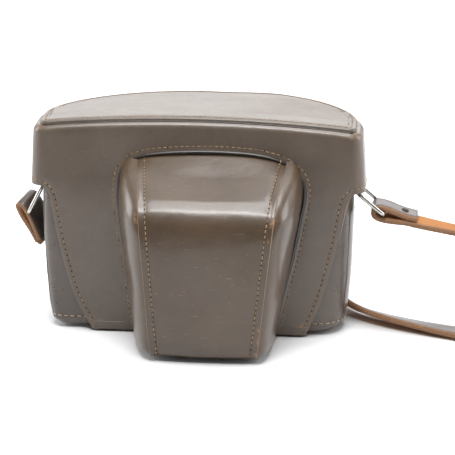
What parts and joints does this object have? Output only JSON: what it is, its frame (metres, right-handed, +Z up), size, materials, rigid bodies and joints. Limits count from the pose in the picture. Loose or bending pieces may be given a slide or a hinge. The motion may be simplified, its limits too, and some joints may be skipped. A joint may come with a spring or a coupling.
{
  "type": "rangefinder camera in its leather case",
  "caption": "Moulded leather ever-ready case with a lens nose, hinged front cover, closing tab, strap rings and neck strap, holding a 35 mm rangefinder camera.",
  "frame": {"origin": "mouth of the tripod socket in the retaining screw, on the bottom plane", "axes": "+X to the right seen from the front, -Y to the front (lens side), +Z up"},
  "size_m": [0.3077, 0.156, 0.1026],
  "materials": {
    "cover_leather": "moulded brown cowhide, semi-gloss, worn",
    "top_leather": "polished brown cowhide",
    "case_leather": "moulded brown cowhide, semi-gloss",
    "welt_leather": "dark rolled leather edge",
    "lining_cloth": "short-pile dark red lining",
    "strap_leather": "tan flesh side, grey-brown grain side",
    "nickel": "polished nickel plate",
    "black_paint": "semi-gloss black",
    "satin_chrome": "satin chrome",
    "body_alloy": "die-cast alloy",
    "body_leatherette": "pebbled black covering",
    "black_trim": "black enamel",
    "pressure_steel": "dark polished",
    "cassette_can": "painted tin can",
    "lens_glass": "coated optical glass"
  },
  "bodies": {
    "case_base": {"base_shell": "case_leather", "base_lining": "lining_cloth", "hinge_strip": "case_leather", "base_sole": "case_leather", "screw_cup": "black_paint", "tab_anchor": "case_leather", "tab_rivets": "nickel", "body_shell": "body_alloy", "body_covering": "body_leatherette", "top_plate": "satin_chrome", "bottom_plate": "satin_chrome", "back_cover": "black_paint", "pressure_plate": "pressure_steel", "shutter_curtains": "black_paint", "lens_mount": "satin_chrome", "lens_barrel": "satin_chrome", "filter_ring": "black_trim", "front_element": "lens_glass", "rear_element": "lens_glass", "iris_blades": "black_paint", "viewfinder_window": "lens_glass", "rangefinder_window": "lens_glass", "window_bezels": "black_trim", "viewfinder_block": "lens_glass", "eyepiece": "black_trim", "accessory_shoe": "satin_chrome", "film_cassette": "cassette_can", "strap_lug_left": "satin_chrome", "strap_lug_right": "satin_chrome", "strap": "strap_leather"},
    "cover": {"cover_hood": "cover_leather", "cover_top_panel": "top_leather", "top_welt": "welt_leather", "nose_front_strip": "cover_leather", "nose_side_left": "cover_leather", "nose_side_right": "cover_leather", "nose_welt": "welt_leather", "cover_lining": "lining_cloth", "snap_stud": "nickel"},
    "closing_tab": {"closing_tab": "case_leather", "snap_cap": "nickel"},
    "ring_left": {"ring_left": "nickel", "strap_fold_left": "strap_leather", "strap_rivet_left": "nickel"},
    "ring_right": {"ring_right": "nickel", "strap_fold_right": "strap_leather", "strap_rivet_right": "nickel"},
    "retaining_screw": {"retaining_screw": "nickel"},
    "wind_knob": {"wind_knob": "satin_chrome"},
    "take_up_spool": {"take_up_spool": "black_paint"},
    "sprocket": {"sprocket": "satin_chrome"},
    "frame_counter": {"frame_counter": "satin_chrome"},
    "rewind_knob": {"rewind_knob": "satin_chrome"},
    "cassette_spool": {"cassette_spool": "black_paint"},
    "speed_dial": {"speed_dial": "satin_chrome"},
    "shutter_button": {"shutter_button": "satin_chrome"},
    "focus_ring": {"focus_ring": "satin_chrome"},
    "aperture_ring": {"aperture_ring": "satin_chrome"},
    "self_timer_lever": {"self_timer_lever": "satin_chrome"}
  },
  "joints": [
    {"name": "cover_hinge", "type": "hinge", "parent": "case_base", "child": "cover", "pos_m": [0, -0.022, 0.001], "axis": [1, 0, 0], "range_deg": [0, 100]},
    {"name": "tab_hinge", "type": "hinge", "parent": "case_base", "child": "closing_tab", "pos_m": [0, 0.0279, 0.056], "axis": [-1, 0, 0], "range_deg": [0, 95]},
    {"name": "ring_left_swing", "type": "hinge", "parent": "case_base", "child": "ring_left", "pos_m": [-0.0706, -0.004, 0.0658], "axis": [0, 1, 0], "range_deg": [-4, 22], "deforming": ["strap"]},
    {"name": "ring_right_swing", "type": "hinge", "parent": "case_base", "child": "ring_right", "pos_m": [0.0729, -0.004, 0.0658], "axis": [0, 1, 0], "range_deg": [-8, 18], "deforming": ["strap"]},
    {"name": "screw_turn", "type": "hinge", "parent": "case_base", "child": "retaining_screw", "pos_m": [0, 0, 0], "axis": [0, 0, 1], "continuous": true},
    {"name": "wind_turn", "type": "hinge", "parent": "case_base", "child": "wind_knob", "pos_m": [-0.046, -0.003, 0.085], "axis": [0, 0, 1], "continuous": true},
    {"name": "take_up_turn", "type": "hinge", "parent": "case_base", "child": "take_up_spool", "pos_m": [-0.046, -0.003, 0.037], "axis": [0, 0, 1], "continuous": true},
    {"name": "sprocket_turn", "type": "hinge", "parent": "case_base", "child": "sprocket", "pos_m": [-0.027, 0.001, 0.037], "axis": [0, 0, 1], "continuous": true},
    {"name": "counter_turn", "type": "hinge", "parent": "case_base", "child": "frame_counter", "pos_m": [-0.03, 0.004, 0.081], "axis": [0, 0, 1], "continuous": true},
    {"name": "rewind_turn", "type": "hinge", "parent": "case_base", "child": "rewind_knob", "pos_m": [0.046, -0.003, 0.085], "axis": [0, 0, 1], "continuous": true},
    {"name": "cassette_turn", "type": "hinge", "parent": "case_base", "child": "cassette_spool", "pos_m": [0.046, -0.003, 0.037], "axis": [0, 0, 1], "continuous": true},
    {"name": "speed_turn", "type": "hinge", "parent": "case_base", "child": "speed_dial", "pos_m": [-0.01, -0.006, 0.083], "axis": [0, 0, 1], "range_deg": [0, 300]},
    {"name": "shutter_press", "type": "slide", "parent": "case_base", "child": "shutter_button", "axis": [0, 0, -1], "range_m": [0, 0.0015], "stiffness_N_per_m": 250},
    {"name": "focus_turn", "type": "hinge", "parent": "case_base", "child": "focus_ring", "pos_m": [0.008, -0.03, 0.038], "axis": [0, -1, 0], "range_deg": [0, 120]},
    {"name": "aperture_turn", "type": "hinge", "parent": "case_base", "child": "aperture_ring", "pos_m": [0.008, -0.04, 0.038], "axis": [0, -1, 0], "range_deg": [0, 70]},
    {"name": "self_timer_turn", "type": "hinge", "parent": "case_base", "child": "self_timer_lever", "pos_m": [-0.023, -0.02, 0.052], "axis": [0, 1, 0], "range_deg": [0, 90]}
  ],
  "couplings": [
    {"joint": "take_up_turn", "follows": "wind_turn", "ratio": 1},
    {"joint": "sprocket_turn", "follows": "wind_turn", "ratio": -1},
    {"joint": "counter_turn", "follows": "wind_turn", "ratio": 0.1},
    {"joint": "cassette_turn", "follows": "rewind_turn", "ratio": 1}
  ]
}
